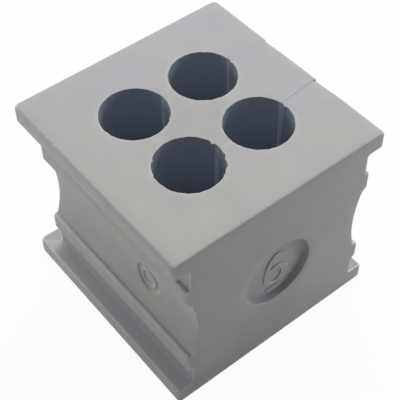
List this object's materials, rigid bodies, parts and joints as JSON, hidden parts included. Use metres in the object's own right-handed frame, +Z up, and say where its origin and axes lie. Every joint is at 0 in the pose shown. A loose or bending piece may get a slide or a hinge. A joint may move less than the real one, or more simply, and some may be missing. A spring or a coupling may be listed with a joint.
{
  "type": "cable grommet",
  "caption": "Square elastomer grommet with slit cable bores, end plates, sealing beads on its neck and one flat side, for a split cable entry frame.",
  "frame": {"origin": "middle of the base plate's underside", "axes": "+Z up along the bores, +X out of the flat side, +Y out of the long side where the slits open"},
  "size_m": [0.021, 0.021, 0.019],
  "materials": {
    "elastomer": "matte"
  },
  "bodies": {
    "root": {"grommet": "elastomer"}
  },
  "joints": []
}
